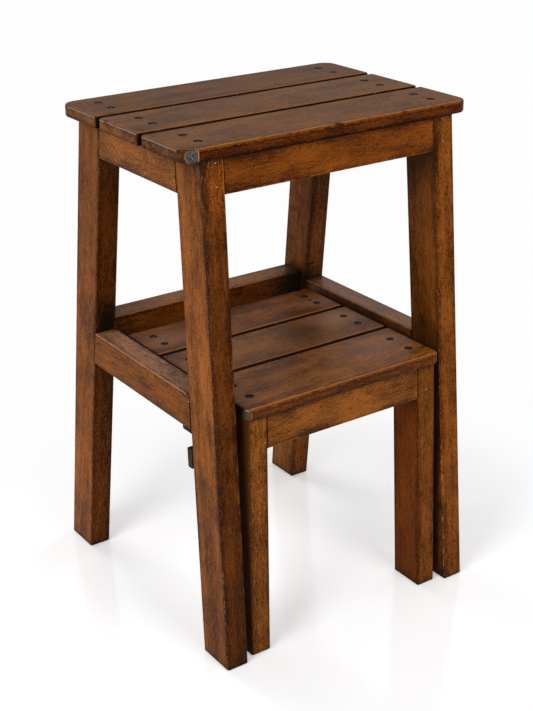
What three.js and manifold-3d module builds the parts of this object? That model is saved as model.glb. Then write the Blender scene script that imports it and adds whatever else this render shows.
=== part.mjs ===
/**
 * A tall wooden stool with a low step that nests under its seat and pulls out on runners.
 *
 * Millimetres, +Z up. X runs along the slats, the step pulls out towards -Y, and the
 * origin is on the floor in the middle of the box round the nested stool.
 * The four legs splay both ways, and every apron and rail is cut to the leaning leg
 * faces and held by a tenon in a mortise.
 */
import * as THREE from 'three';
import { mergeVertices } from 'three/addons/utils/BufferGeometryUtils.js';
import Module from 'manifold-3d';

const wasm = await Module();
wasm.setup();

// General sizes
const fit = 0.3;
const overrun = 2;
const arcSteps = 2;
const cornerSteps = 8;
const sides = [-1, 1];
const sideNames = { '-1': 'left', 1: 'right' };

// Seat
const seatHeight = 640;
const seatLength = 404;
const slatThickness = 15;
const slatEase = 2.4;
const slatCornerRadius = 4.5;
const seatSlatDepth = 90.1;
const seatSlatGap = 6.6;
const seatFront = -160.5;
const seatRear = seatFront + 3 * seatSlatDepth + 2 * seatSlatGap;
const seatCornerRadius = 18;
const seatOverhangSide = 23.5;
const seatOverhangFront = 3.5;
const seatOverhangRear = 0.5;

// Main legs: how far their feet stand out beyond their heads
const legWide = 30;
const legDeep = 55;
const legEase = 3;
const footEase = 1.5;
const sideSplay = 11;
const frontSplay = 47;
const rearSplay = 81.5;

// Aprons under the seat
const apronThickness = 20;
const crossApronHeight = 41;
const sideApronHeight = 47;
const sideApronThickness = 22;
const apronSetback = 1;
const barEase = 2;

// Rails at half height: how far their tops rise above the step
const sideRailRise = 6;
const sideRailHeight = 45;
const rearRailRise = 16;
const rearRailHeight = 45;
const rearRailThickness = 38;
const rearRailSetback = 5;

// Tie batten behind the front legs, and the pads under the side rails
const battenHeight = 25;
const battenThickness = 10;
const battenEase = 1.5;
const padLength = 19;
const padThickness = 4;
const padSetback = 1;

// Step
const stepHeight = 334;
const stepSideClearance = 8.6;
const stepOverhangSide = 3;
const stepOverhangFront = 5;
const stepRearClearance = 26.4;
const stepSlatGap = 5;
const stepFrontShare = 0.375;
const stepMiddleShare = 0.3235;
const stepRearShare = 1 - stepFrontShare - stepMiddleShare;
const stepCornerRadius = 8;
const stepLegWide = 28;
const stepLegDeep = 50;
const stepSideSplay = 6;
const stepHeadProud = 5;
const stepFootSetback = 8.5;
const stepApronHeight = 44;
const bearerHeight = 48;
const bearerThickness = 20;
const bearerInset = 11;
const bearerSetback = 3;
const stepRearRailHeight = 40;
const stepRearRailThickness = 20;
const stopLength = 12;
const stopHeight = 9;

// Runners inside the side rails, under the ends of the step slats
const runnerHeight = 16;
const runnerClearance = 1;
const runnerSetback = 3;
const runnerEndSetback = 6;

// Tenons: thickness, shoulder above and below, and length
const crossApronTenon = { thickness: 10, shoulder: 5, length: 18 };
const sideApronTenon = { thickness: 10, shoulder: 5, length: 22 };
const sideRailTenon = { thickness: 12, shoulder: 7, length: 22 };
const rearRailTenon = { thickness: 14, shoulder: 7, length: 18 };
const stepApronTenon = { thickness: 10, shoulder: 5, length: 16 };
const bearerTenon = { thickness: 10, shoulder: 6, length: 16 };
const stepRearRailTenon = { thickness: 10, shoulder: 6, length: 12 };

// Slat screws
const screwLength = 30;
const screwShankRadius = 1.9;
const screwHeadRadius = 4.3;
const screwRimThickness = 0.6;
const screwHeadThickness = 3.2;
const screwTipLength = 3;
const screwSink = 0.5;
const screwSlotWidth = 0.9;
const screwSlotDepth = 1.1;
const counterboreRadius = 5;
const screwSides = 12;
const screwTurn = 2.4;
const screwPairShare = 0.35;
const seatScrewInset = 37;
const stepScrewInset = 24;

// Colours
const seatColour = 0x5e3c26;
const legColour = 0x74451f;
const apronColour = 0x7b4a22;
const railColour = 0x6a3f20;
const stepColour = 0x6b4023;
const darkWoodColour = 0x33251d;
const screwColour = 0x1d1b1a;

// Heights that follow from the sizes above
const legHeight = seatHeight - slatThickness - fit;
const stepFrameTop = stepHeight - slatThickness - fit;
const bearerBottom = stepFrameTop - bearerHeight;
const battenTop = bearerBottom - fit;
const sideRailTop = stepHeight + sideRailRise;
const sideRailBottom = sideRailTop - sideRailHeight;
const rearRailTop = stepHeight + rearRailRise;
const runnerTop = stepHeight - slatThickness - fit;

// Reach of the main legs' outer faces from the middle, under the seat and at the floor
const topReachSide = seatLength / 2 - seatOverhangSide;
const topReachFront = -seatFront - seatOverhangFront;
const topReachRear = seatRear - seatOverhangRear;
const footReachSide = topReachSide + sideSplay;
const footReachFront = topReachFront + frontSplay;
const footReachRear = topReachRear + rearSplay;

// Leaning faces of the main legs at a height
const lean = (foot, top, height) => (foot - top) / height;
const sideLean = lean(footReachSide, topReachSide, legHeight);
const frontLean = lean(footReachFront, topReachFront, legHeight);
const rearLean = lean(footReachRear, topReachRear, legHeight);
const legOuter = (z) => footReachSide - sideLean * z;
const legInner = (z) => legOuter(z) - legWide;
const frontLegFront = (z) => frontLean * z - footReachFront;
const frontLegBack = (z) => frontLegFront(z) + legDeep;
const rearLegBack = (z) => footReachRear - rearLean * z;
const rearLegFront = (z) => rearLegBack(z) - legDeep;
const rearRailBack = (z) => rearLegBack(z) - rearRailSetback;
const rearRailFront = (z) => rearRailBack(z) - rearRailThickness;

// Places of the step, which follow the main legs
const stepLength = 2 * (legInner(stepHeight) - stepSideClearance);
const stepTopReachSide = stepLength / 2 - stepOverhangSide;
const stepFootReachSide = stepTopReachSide + stepSideSplay;
const stepTopReachFront = stepHeadProud - frontLegFront(stepFrameTop);
const stepFootReachFront = footReachFront - stepFootSetback;
const stepFront = -stepTopReachFront - stepOverhangFront;
const stepRear = rearRailFront(stepHeight) - stepRearClearance;
const stepSlatsDepth = stepRear - stepFront - 2 * stepSlatGap;
const stepSlatDepths = {
  front: stepFrontShare * stepSlatsDepth,
  middle: stepMiddleShare * stepSlatsDepth,
  rear: stepRearShare * stepSlatsDepth,
};
const bearerRear = stepRear - bearerSetback;
const bearerReachSide = stepLength / 2 - bearerInset;

// Leaning faces of the step legs at a height
const stepSideLean = lean(stepFootReachSide, stepTopReachSide, stepFrameTop);
const stepFrontLean = lean(stepFootReachFront, stepTopReachFront, stepFrameTop);
const stepLegOuter = (z) => stepFootReachSide - stepSideLean * z;
const stepLegInner = (z) => stepLegOuter(z) - stepLegWide;
const stepLegFront = (z) => stepFrontLean * z - stepFootReachFront;
const stepLegBack = (z) => stepLegFront(z) + stepLegDeep;

/** A closed solid from a three.js geometry. */
function solid(geometry) {
  geometry.deleteAttribute('normal');
  geometry.deleteAttribute('uv');
  const merged = mergeVertices(geometry);
  const corners = [];
  const index = merged.index.array;
  for (let i = 0; i < index.length; i += 3) {
    const [a, b, c] = [index[i], index[i + 1], index[i + 2]];
    if (a !== b && b !== c && c !== a) {
      corners.push(a, b, c);
    }
  }
  return new wasm.Manifold(new wasm.Mesh({
    numProp: 3,
    vertProperties: Float32Array.from(merged.attributes.position.array),
    triVerts: Uint32Array.from(corners),
  }));
}

/** A three.js geometry from a closed solid. */
function geometryOf(manifold) {
  const mesh = manifold.getMesh();
  const geometry = new THREE.BufferGeometry();
  geometry.setAttribute('position', new THREE.BufferAttribute(mesh.vertProperties, mesh.numProp));
  geometry.setIndex(new THREE.BufferAttribute(mesh.triVerts, 1));
  geometry.computeVertexNormals();
  return geometry;
}

/** Moves every vertex of a geometry by a function of its place. */
function mapVertices(geometry, place) {
  const positions = geometry.attributes.position;
  for (let i = 0; i < positions.count; i += 1) {
    const [x, y, z] = place(positions.getX(i), positions.getY(i), positions.getZ(i));
    positions.setXYZ(i, x, y, z);
  }
  return geometry;
}

/** A rectangle with rounded corners: radii in the order left-low, right-low, right-high, left-high. */
function roundedRectangle(left, right, low, high, radii) {
  const [leftLow, rightLow, rightHigh, leftHigh] = radii;
  const quarter = Math.PI / 2;
  const outline = new THREE.Shape();
  outline.absarc(left + leftLow, low + leftLow, leftLow, 2 * quarter, 3 * quarter);
  outline.absarc(right - rightLow, low + rightLow, rightLow, 3 * quarter, 4 * quarter);
  outline.absarc(right - rightHigh, high - rightHigh, rightHigh, 0, quarter);
  outline.absarc(left + leftHigh, high - leftHigh, leftHigh, quarter, 2 * quarter);
  outline.closePath();
  return outline;
}

/** The section of a bar: its thickness about zero, standing between two heights. */
function barSection(thickness, bottom, top, ease) {
  return roundedRectangle(-thickness / 2, thickness / 2, bottom, top, [ease, ease, ease, ease]);
}

/** The section of a tenon, with sharp corners. */
function tenonSection(thickness, bottom, top) {
  const section = new THREE.Shape();
  section.moveTo(-thickness / 2, bottom);
  section.lineTo(thickness / 2, bottom);
  section.lineTo(thickness / 2, top);
  section.lineTo(-thickness / 2, top);
  section.closePath();
  return section;
}

/** A section drawn out to a length of one. */
function unitBar(section) {
  return new THREE.ExtrudeGeometry(section, { depth: 1, bevelEnabled: false, curveSegments: arcSteps });
}

/** A bar along X with its middle plane at centre(z), and its ends on the faces start(z) and end(z). */
function barAlongX(section, centre, start, end) {
  return solid(mapVertices(unitBar(section), (across, z, share) => (
    [THREE.MathUtils.lerp(start(z), end(z), share), centre(z) + across, z]
  )));
}

/** A bar along Y with its middle plane at centre(z), and its ends on the faces start(z) and end(z). */
function barAlongY(section, centre, start, end) {
  return solid(mapVertices(unitBar(section), (across, z, share) => (
    [centre(z) - across, THREE.MathUtils.lerp(start(z), end(z), share), z]
  )));
}

/** A leaning leg from the floor up, its foot edge eased and its head cut level. */
function leg(wide, deep, height, centreX, centreY) {
  const plan = roundedRectangle(
    -wide / 2, wide / 2, -deep / 2, deep / 2, [legEase, legEase, legEase, legEase],
  );
  const post = new THREE.ExtrudeGeometry(plan, {
    depth: height - footEase,
    bevelThickness: footEase,
    bevelSize: footEase,
    bevelOffset: -footEase,
    bevelSegments: 1,
    curveSegments: arcSteps,
  });
  post.translate(0, 0, footEase);
  mapVertices(post, (x, y, z) => [x + centreX(z), y + centreY(z), z]);
  const room = 2 * (Math.abs(centreX(0)) + Math.abs(centreY(0)) + wide + deep);
  const above = new THREE.BoxGeometry(room, room, overrun + footEase);
  above.translate(0, 0, height + (overrun + footEase) / 2);
  return solid(post).subtract(solid(above));
}

// Every wooden piece by its name, so that holes and mortises can be cut in turn
const wood = {};
const colours = {};

function keep(name, piece, colour) {
  wood[name] = piece;
  colours[name] = colour;
}

function cut(name, tool) {
  wood[name] = wood[name].subtract(tool);
}

/**
 * A bar between two faces, with a tenon at each end that has a host, and the mortises in the hosts.
 * An end without a host stops on its own face.
 */
function joinedBar(name, colour, bar) {
  const { build, thickness, bottom, top, ease, centre, start, end, tenon, startHost, endHost } = bar;
  const middle = (z) => (start(z) + end(z)) / 2;
  const bodyStart = startHost ? (z) => start(z) + fit : start;
  const bodyEnd = endHost ? (z) => end(z) - fit : end;
  const body = build(barSection(thickness, bottom, top, ease), centre, bodyStart, bodyEnd);
  const tongue = tenonSection(tenon.thickness, bottom + tenon.shoulder, top - tenon.shoulder);
  const tongueStart = startHost ? (z) => start(z) - tenon.length : middle;
  const tongueEnd = endHost ? (z) => end(z) + tenon.length : middle;
  keep(name, body.add(build(tongue, centre, tongueStart, tongueEnd)), colour);
  const mouth = tenonSection(
    tenon.thickness + 2 * fit, bottom + tenon.shoulder - fit, top - tenon.shoulder + fit,
  );
  const mouthStart = startHost ? (z) => tongueStart(z) - fit : middle;
  const mouthEnd = endHost ? (z) => tongueEnd(z) + fit : middle;
  const mortise = build(mouth, centre, mouthStart, mouthEnd);
  [startHost, endHost].filter(Boolean).forEach((host) => cut(host, mortise));
}

/** Main legs, splayed to the sides and to front and rear. */
function addMainLegs() {
  sides.forEach((side) => {
    const centreX = (z) => side * (legOuter(z) + legInner(z)) / 2;
    const frontY = (z) => (frontLegFront(z) + frontLegBack(z)) / 2;
    const rearY = (z) => (rearLegFront(z) + rearLegBack(z)) / 2;
    keep(`leg_front_${sideNames[side]}`, leg(legWide, legDeep, legHeight, centreX, frontY), legColour);
    keep(`leg_rear_${sideNames[side]}`, leg(legWide, legDeep, legHeight, centreX, rearY), legColour);
  });
}

/** Front and rear aprons between the legs' inner faces, leaning with the legs. */
function addCrossAprons() {
  const shared = {
    build: barAlongX,
    thickness: apronThickness,
    bottom: legHeight - crossApronHeight,
    top: legHeight,
    ease: barEase,
    start: (z) => -legInner(z),
    end: legInner,
    tenon: crossApronTenon,
  };
  const depth = apronSetback + apronThickness / 2;
  joinedBar('apron_front', apronColour, {
    ...shared,
    centre: (z) => frontLegFront(z) + depth,
    startHost: 'leg_front_left',
    endHost: 'leg_front_right',
  });
  joinedBar('apron_rear', apronColour, {
    ...shared,
    centre: (z) => rearLegBack(z) - depth,
    startHost: 'leg_rear_left',
    endHost: 'leg_rear_right',
  });
}

/** Side aprons and side rails between the front and rear legs. */
function addSideBars() {
  sides.forEach((side) => {
    const sideName = sideNames[side];
    const shared = {
      build: barAlongY,
      ease: barEase,
      start: frontLegBack,
      end: rearLegFront,
      startHost: `leg_front_${sideName}`,
      endHost: `leg_rear_${sideName}`,
    };
    joinedBar(`apron_${sideName}`, apronColour, {
      ...shared,
      thickness: sideApronThickness,
      bottom: legHeight - sideApronHeight,
      top: legHeight,
      centre: (z) => side * (legOuter(z) - sideApronThickness / 2),
      tenon: sideApronTenon,
    });
    joinedBar(`side_rail_${sideName}`, railColour, {
      ...shared,
      thickness: legWide,
      bottom: sideRailBottom,
      top: sideRailTop,
      centre: (z) => side * (legOuter(z) - legWide / 2),
      tenon: sideRailTenon,
    });
  });
}

/** The rear rail between the rear legs. */
function addRearRail() {
  joinedBar('rear_rail', railColour, {
    build: barAlongX,
    thickness: rearRailThickness,
    bottom: rearRailTop - rearRailHeight,
    top: rearRailTop,
    ease: barEase,
    centre: (z) => (rearRailFront(z) + rearRailBack(z)) / 2,
    start: (z) => -legInner(z),
    end: legInner,
    tenon: rearRailTenon,
    startHost: 'leg_rear_left',
    endHost: 'leg_rear_right',
  });
}

/** The batten tying the front legs behind, which carries the step's bearers. */
function addTieBatten() {
  const section = barSection(battenThickness, battenTop - battenHeight, battenTop, battenEase);
  const centre = (z) => frontLegBack(z) + fit + battenThickness / 2;
  keep('tie_batten', barAlongX(section, centre, (z) => -legOuter(z), legOuter), darkWoodColour);
}

/** Pads under the front ends of the side rails, and runners on the rails' inner faces. */
function addPadsAndRunners() {
  const runnerInner = bearerReachSide + runnerClearance;
  const runnerThickness = legInner(runnerTop) - fit - runnerInner;
  const padWide = legWide - 2 * padSetback;
  sides.forEach((side) => {
    const padTop = sideRailBottom - fit;
    keep(`rail_pad_${sideNames[side]}`, barAlongY(
      tenonSection(padWide, padTop - padThickness, padTop),
      (z) => side * (legOuter(z) - legWide / 2),
      (z) => frontLegBack(z) + fit,
      (z) => frontLegBack(z) + fit + padLength,
    ), darkWoodColour);
    keep(`runner_${sideNames[side]}`, barAlongY(
      barSection(runnerThickness, runnerTop - runnerHeight, runnerTop, barEase),
      (z) => side * (legInner(z) - fit - runnerThickness / 2),
      () => frontLegBack(runnerTop) + runnerSetback,
      () => stepRear - runnerEndSetback,
    ), railColour);
  });
}

/** The two legs of the step and the apron between them. */
function addStepFront() {
  sides.forEach((side) => {
    const centreX = (z) => side * (stepLegOuter(z) + stepLegInner(z)) / 2;
    const centreY = (z) => (stepLegFront(z) + stepLegBack(z)) / 2;
    const post = leg(stepLegWide, stepLegDeep, stepFrameTop, centreX, centreY);
    keep(`step_leg_${sideNames[side]}`, post, legColour);
  });
  joinedBar('step_apron_front', apronColour, {
    build: barAlongX,
    thickness: apronThickness,
    bottom: stepFrameTop - stepApronHeight,
    top: stepFrameTop,
    ease: barEase,
    centre: (z) => stepLegFront(z) + apronSetback + apronThickness / 2,
    start: (z) => -stepLegInner(z),
    end: stepLegInner,
    tenon: stepApronTenon,
    startHost: 'step_leg_left',
    endHost: 'step_leg_right',
  });
}

/** The bearers that run back from the step legs, the rail between their ends, and their stops. */
function addStepFrame() {
  sides.forEach((side) => {
    const sideName = sideNames[side];
    const centre = () => side * (bearerReachSide - bearerThickness / 2);
    joinedBar(`step_bearer_${sideName}`, stepColour, {
      build: barAlongY,
      thickness: bearerThickness,
      bottom: bearerBottom,
      top: stepFrameTop,
      ease: barEase,
      centre,
      start: stepLegBack,
      end: () => bearerRear,
      tenon: bearerTenon,
      startHost: `step_leg_${sideName}`,
      endHost: null,
    });
    const stopTop = bearerBottom - fit;
    keep(`step_stop_${sideName}`, barAlongY(
      barSection(bearerThickness, stopTop - stopHeight, stopTop, barEase),
      centre,
      () => bearerRear - stopLength,
      () => bearerRear,
    ), darkWoodColour);
  });
  const bearerInner = bearerReachSide - bearerThickness;
  joinedBar('step_rear_rail', stepColour, {
    build: barAlongX,
    thickness: stepRearRailThickness,
    bottom: stepFrameTop - stepRearRailHeight,
    top: stepFrameTop,
    ease: barEase,
    centre: () => bearerRear - bearerSetback - stepRearRailThickness / 2,
    start: () => -bearerInner,
    end: () => bearerInner,
    tenon: stepRearRailTenon,
    startHost: 'step_bearer_left',
    endHost: 'step_bearer_right',
  });
}

/** A flat slat with rounded plan corners and eased edges, its top at a height. */
function slat(length, front, rear, top, frontRadius, rearRadius) {
  const plan = roundedRectangle(
    -length / 2, length / 2, front, rear, [frontRadius, frontRadius, rearRadius, rearRadius],
  );
  const board = new THREE.ExtrudeGeometry(plan, {
    depth: slatThickness - 2 * slatEase,
    bevelThickness: slatEase,
    bevelSize: slatEase,
    bevelOffset: -slatEase,
    bevelSegments: 2,
    curveSegments: cornerSteps,
  });
  board.translate(0, 0, top - slatThickness + slatEase);
  return solid(board);
}

/** A solid of revolution that stands at a place, from a profile of radius and height pairs. */
function turned(profile, x, y, z) {
  const points = profile.map(([radius, height]) => new THREE.Vector2(radius, height));
  const body = new THREE.LatheGeometry(points, screwSides);
  body.rotateX(Math.PI / 2);
  body.translate(x, y, z);
  return solid(body);
}

// Every screw by its name
const screws = {};

/** A countersunk slotted screw through a slat into a piece below, and its holes in both. */
function addScrew(name, x, y, slatTop, pieces, turn) {
  const headTop = slatTop - screwSink;
  const shank = screwShankRadius;
  const head = turned([
    [0, -screwLength],
    [shank, screwTipLength - screwLength],
    [shank, -screwHeadThickness],
    [screwHeadRadius, -screwRimThickness],
    [screwHeadRadius, 0],
    [0, 0],
  ], x, y, headTop);
  const slot = new THREE.BoxGeometry(2 * counterboreRadius, screwSlotWidth, 2 * screwSlotDepth);
  slot.rotateZ(turn);
  slot.translate(x, y, headTop);
  screws[name] = head.subtract(solid(slot));
  const hole = turned([
    [0, -screwLength - fit],
    [shank + fit, -screwLength - fit],
    [shank + fit, -screwHeadThickness - fit],
    [counterboreRadius, -screwRimThickness - fit],
    [counterboreRadius, screwSink + overrun],
    [0, screwSink + overrun],
  ], x, y, headTop);
  pieces.forEach((piece) => cut(piece, hole));
}

/** Two screws at each end of a slat, with holes in it and in the pieces below on that side. */
function addSlatScrews(prefix, firstNumber, slatName, front, rear, top, reach, piecesBelow) {
  const spacing = screwPairShare * (rear - front);
  let number = firstNumber;
  sides.forEach((side) => {
    sides.forEach((along) => {
      const y = (front + rear + along * spacing) / 2;
      const pieces = [slatName, ...piecesBelow(sideNames[side])];
      addScrew(`${prefix}_screw_${number}`, side * reach, y, top, pieces, number * screwTurn);
      number += 1;
    });
  });
  return number;
}

/** The seat's three slats, screwed to the side aprons and the heads of the legs. */
function addSeatSlats() {
  const reach = seatLength / 2 - seatScrewInset;
  const piecesBelow = (sideName) => [
    `apron_${sideName}`, `leg_front_${sideName}`, `leg_rear_${sideName}`, 'apron_front', 'apron_rear',
  ];
  let front = seatFront;
  let number = 1;
  ['front', 'middle', 'rear'].forEach((place) => {
    const rear = front + seatSlatDepth;
    const frontRadius = place === 'front' ? seatCornerRadius : slatCornerRadius;
    const rearRadius = place === 'rear' ? seatCornerRadius : slatCornerRadius;
    const name = `seat_slat_${place}`;
    keep(name, slat(seatLength, front, rear, seatHeight, frontRadius, rearRadius), seatColour);
    number = addSlatScrews('seat', number, name, front, rear, seatHeight, reach, piecesBelow);
    front = rear + seatSlatGap;
  });
}

/** The step's three slats, screwed to the bearers and the heads of the step legs. */
function addStepSlats() {
  const reach = stepLength / 2 - stepScrewInset;
  const piecesBelow = (sideName) => [
    `step_leg_${sideName}`, `step_bearer_${sideName}`, 'step_apron_front', 'step_rear_rail',
  ];
  let front = stepFront;
  let number = 1;
  ['front', 'middle', 'rear'].forEach((place) => {
    const rear = front + stepSlatDepths[place];
    const frontRadius = place === 'front' ? stepCornerRadius : slatCornerRadius;
    const name = `step_slat_${place}`;
    keep(name, slat(stepLength, front, rear, stepHeight, frontRadius, slatCornerRadius), stepColour);
    number = addSlatScrews('step', number, name, front, rear, stepHeight, reach, piecesBelow);
    front = rear + stepSlatGap;
  });
}

/** One named mesh with a material of its own. */
function meshOf(name, piece, colour, roughness, metalness) {
  const material = new THREE.MeshStandardMaterial({ color: colour, roughness, metalness });
  const mesh = new THREE.Mesh(geometryOf(piece), material);
  mesh.name = name;
  return mesh;
}

addMainLegs();
addCrossAprons();
addSideBars();
addRearRail();
addTieBatten();
addPadsAndRunners();
addStepFront();
addStepFrame();
addSeatSlats();
addStepSlats();

const woodRoughness = 0.45;
const screwRoughness = 0.5;
const screwMetalness = 0.8;
const stool = new THREE.Group();
Object.entries(wood).forEach(([name, piece]) => {
  stool.add(meshOf(name, piece, colours[name], woodRoughness, 0));
});
Object.entries(screws).forEach(([name, piece]) => {
  stool.add(meshOf(name, piece, screwColour, screwRoughness, screwMetalness));
});

export default stool;
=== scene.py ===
"""Looks of the step stool: worn walnut-stained wood, dark screws, a white studio and the camera."""
import math
from collections import namedtuple

import bpy
import numpy as np
from mathutils import Matrix, Vector


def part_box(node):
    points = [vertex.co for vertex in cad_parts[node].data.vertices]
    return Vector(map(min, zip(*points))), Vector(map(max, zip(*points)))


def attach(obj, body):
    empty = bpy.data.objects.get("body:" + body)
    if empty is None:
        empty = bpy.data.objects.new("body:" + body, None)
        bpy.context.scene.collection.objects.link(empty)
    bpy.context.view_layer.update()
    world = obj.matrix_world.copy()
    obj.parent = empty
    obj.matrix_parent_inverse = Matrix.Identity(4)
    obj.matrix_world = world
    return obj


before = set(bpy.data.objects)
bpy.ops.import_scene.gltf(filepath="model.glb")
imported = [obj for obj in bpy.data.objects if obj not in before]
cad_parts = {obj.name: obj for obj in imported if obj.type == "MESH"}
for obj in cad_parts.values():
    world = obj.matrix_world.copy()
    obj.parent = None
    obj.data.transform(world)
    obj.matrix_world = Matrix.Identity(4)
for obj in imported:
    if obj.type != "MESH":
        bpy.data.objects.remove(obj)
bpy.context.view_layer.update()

X, Y, Z = 0, 1, 2

# Stains, as linear red, green and blue: the darkest and the lightest of each
SEAT = ((0.050, 0.016, 0.004), (0.180, 0.067, 0.016))
LEG = ((0.060, 0.017, 0.003), (0.330, 0.101, 0.016))
APRON = ((0.060, 0.012, 0.001), (0.300, 0.080, 0.006))
RAIL = ((0.060, 0.017, 0.002), (0.300, 0.088, 0.011))
STEP = ((0.045, 0.010, 0.001), (0.235, 0.074, 0.010))
BLOCK = ((0.016, 0.010, 0.007), (0.070, 0.038, 0.022))

# Colours of dirt and painted shade, of wear and painted highlights, of a painted sheen, and of steel and
# putty
# A near-black that is dirt in dents and smudges, and painted shade in crevices, corners and the gaps
# between slats
GRIME_AND_SHADE = (0.008, 0.005, 0.003)
SOOT = (0.019, 0.017, 0.018)
AMBER = (0.300, 0.082, 0.007)
GOLD = (0.520, 0.210, 0.050)
# A tan that is worn chips, and also a painted highlight along the left rail's top edge
TAN_WEAR_AND_HIGHLIGHT = (0.480, 0.260, 0.130)
# A pale colour that is worn scratches, and also a painted highlight along the top edges of the seat's left
# ends
PALE_WEAR_AND_HIGHLIGHT = (0.550, 0.500, 0.460)
CHARCOAL = (0.036, 0.033, 0.031)
BROWN_WEAR = (0.062, 0.035, 0.019)
# A painted sheen: a lighter patch that stands for the white reflected in the step's tops
PAINTED_SHEEN = (0.260, 0.130, 0.070)
# Painted shade for the step leg's flank, where the front leg shades it
FLANK_SHADE = (0.085, 0.023, 0.002)
SCREW_BLACK = (0.006, 0.008, 0.011)
SCREW_RUBBED = (0.055, 0.059, 0.062)
PUTTY = (0.400, 0.370, 0.320)

# Rays that look how open a point is to the air
AIR_SAMPLES = 8


class Field:
    """A number, colour or shader in a tree of nodes; numbers add and multiply like plain ones."""

    def __init__(self, paint, socket):
        self.paint = paint
        self.socket = socket

    def __add__(self, other):
        return self.paint.math("ADD", self, other)

    def __sub__(self, other):
        return self.paint.math("SUBTRACT", self, other)

    def __mul__(self, other):
        return self.paint.math("MULTIPLY", self, other)

    __radd__ = __add__
    __rmul__ = __mul__

    def __rsub__(self, other):
        return self.paint.math("SUBTRACT", other, self)


class Paint:
    """A material or world and the nodes that make its look."""

    def __init__(self, owner):
        owner.use_nodes = True
        self.owner = owner
        self.nodes = owner.node_tree.nodes
        self.links = owner.node_tree.links
        self.nodes.clear()

    def feed(self, socket, value):
        if isinstance(value, Field):
            self.links.new(value.socket, socket)
        elif isinstance(value, tuple) and len(value) == 3 and socket.type == "RGBA":
            socket.default_value = (*value, 1)
        else:
            socket.default_value = value

    def node(self, kind, output=0, inputs=(), **settings):
        """The output of a new node; inputs are pairs of a socket's name or number and its value."""
        node = self.nodes.new(kind)
        for name, value in settings.items():
            setattr(node, name, value)
        for name, value in inputs:
            self.feed(node.inputs[name], value)
        return Field(self, node.outputs[output])

    def math(self, operation, *values):
        return self.node("ShaderNodeMath", inputs=enumerate(values), operation=operation)

    def least(self, first, second):
        return self.math("MINIMUM", first, second)

    def most(self, first, second):
        return self.math("MAXIMUM", first, second)

    def size(self, value):
        """A number without its sign."""
        return self.math("ABSOLUTE", value)

    def length(self, *steps):
        """The distance that steps at right angles to each other cover."""
        squares = [step * step for step in steps]
        total = squares[0]
        for square in squares[1:]:
            total = total + square
        return self.math("SQRT", total)

    def parts(self, vector):
        """The three numbers in a vector."""
        node = self.nodes.new("ShaderNodeSeparateXYZ")
        self.feed(node.inputs[0], vector)
        return [Field(self, socket) for socket in node.outputs]

    def place(self):
        """A point's three coordinates in its object's own space."""
        return self.parts(self.node("ShaderNodeTexCoord", "Object"))

    def vector(self, x, y, z):
        return self.node("ShaderNodeCombineXYZ", inputs=enumerate((x, y, z)))

    def noise(self, place, detail, roughness):
        """Soft noise from 0 to 1, one lump to each unit of place."""
        inputs = (("Vector", place), ("Scale", 1.0), ("Detail", detail), ("Roughness", roughness))
        return self.node("ShaderNodeTexNoise", inputs=inputs)

    def grain(self, place, scale, detail=2.0, roughness=0.5):
        """Noise with as many lumps per metre every way as scale says."""
        return self.noise(self.vector(*(axis * scale for axis in place)), detail, roughness)

    def cells(self, place):
        """The distance to the nearest of scattered points, and a random number for that point."""
        node = self.nodes.new("ShaderNodeTexVoronoi")
        self.feed(node.inputs["Vector"], place)
        self.feed(node.inputs["Scale"], 1.0)
        return Field(self, node.outputs["Distance"]), self.parts(Field(self, node.outputs["Color"]))[0]

    def ramp(self, value, low, high):
        """0 at low, 1 at high, smooth between them; low may be the greater."""
        inputs = (("Value", value), ("From Min", low), ("From Max", high))
        return self.node("ShaderNodeMapRange", inputs=inputs, interpolation_type="SMOOTHSTEP")

    def blend(self, first, second, share):
        """A colour that goes from the first to the second as share goes from 0 to 1."""
        node = self.nodes.new("ShaderNodeMix")
        node.data_type = "RGBA"
        for socket, value in zip((node.inputs[0], node.inputs[6], node.inputs[7]), (share, first, second)):
            self.feed(socket, value)
        return Field(self, node.outputs[2])

    def scaled(self, colour, gain):
        inputs = (("Vector", colour), ("Scale", gain))
        return self.node("ShaderNodeVectorMath", inputs=inputs, operation="SCALE")

    def tinted(self, colour, tint, share):
        """A colour multiplied by a tint as share goes from 0 to 1."""
        product = self.node("ShaderNodeVectorMath", inputs=enumerate((colour, tint)), operation="MULTIPLY")
        return self.blend(colour, product, share)

    def openness(self, distance):
        """How open a point is to the air round it: 1 in the open, 0 in a tight corner."""
        inputs = (("Distance", distance),)
        return self.node("ShaderNodeAmbientOcclusion", "AO", inputs, samples=AIR_SAMPLES)

    def bump(self, height, depth):
        return self.node("ShaderNodeBump", inputs=(("Height", height), ("Distance", depth)))

    def end(self, shader, kind="ShaderNodeOutputMaterial"):
        """Gives the material or world its shader."""
        self.feed(self.nodes.new(kind).inputs[0], shader)
        return self.owner

    def finish(self, colour, roughness, normal, specular):
        inputs = (("Base Color", colour), ("Roughness", roughness), ("Normal", normal),
                  ("Specular IOR Level", specular))
        return self.end(self.node("ShaderNodeBsdfPrincipled", inputs=inputs))


# How thick a slice at a piece's ends shows where the ends lie
END_SLICE = 0.0005
# How far below a slat's underside the middle of its own screws may lie
SCREW_DROP = 0.05


def upright_box(node, along):
    """How a piece leans per metre of height, and the middle and half sizes of its box once set upright."""
    points = np.array([vertex.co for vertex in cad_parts[node].data.vertices])
    heights = points[:, Z]
    low = points[heights < heights.min() + END_SLICE]
    high = points[heights > heights.max() - END_SLICE]
    middle_low = (low.min(0) + low.max(0)) / 2
    middle_high = (high.min(0) + high.max(0)) / 2
    lean = (middle_high - middle_low) / (heights.max() - heights.min())
    lean[Z] = 0
    if along != Z:
        lean[along] = 0
    upright = points - heights[:, None] * lean
    middle = (upright.max(0) + upright.min(0)) / 2
    half = (upright.max(0) - upright.min(0)) / 2
    return lean.tolist(), middle.tolist(), half.tolist()


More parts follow.
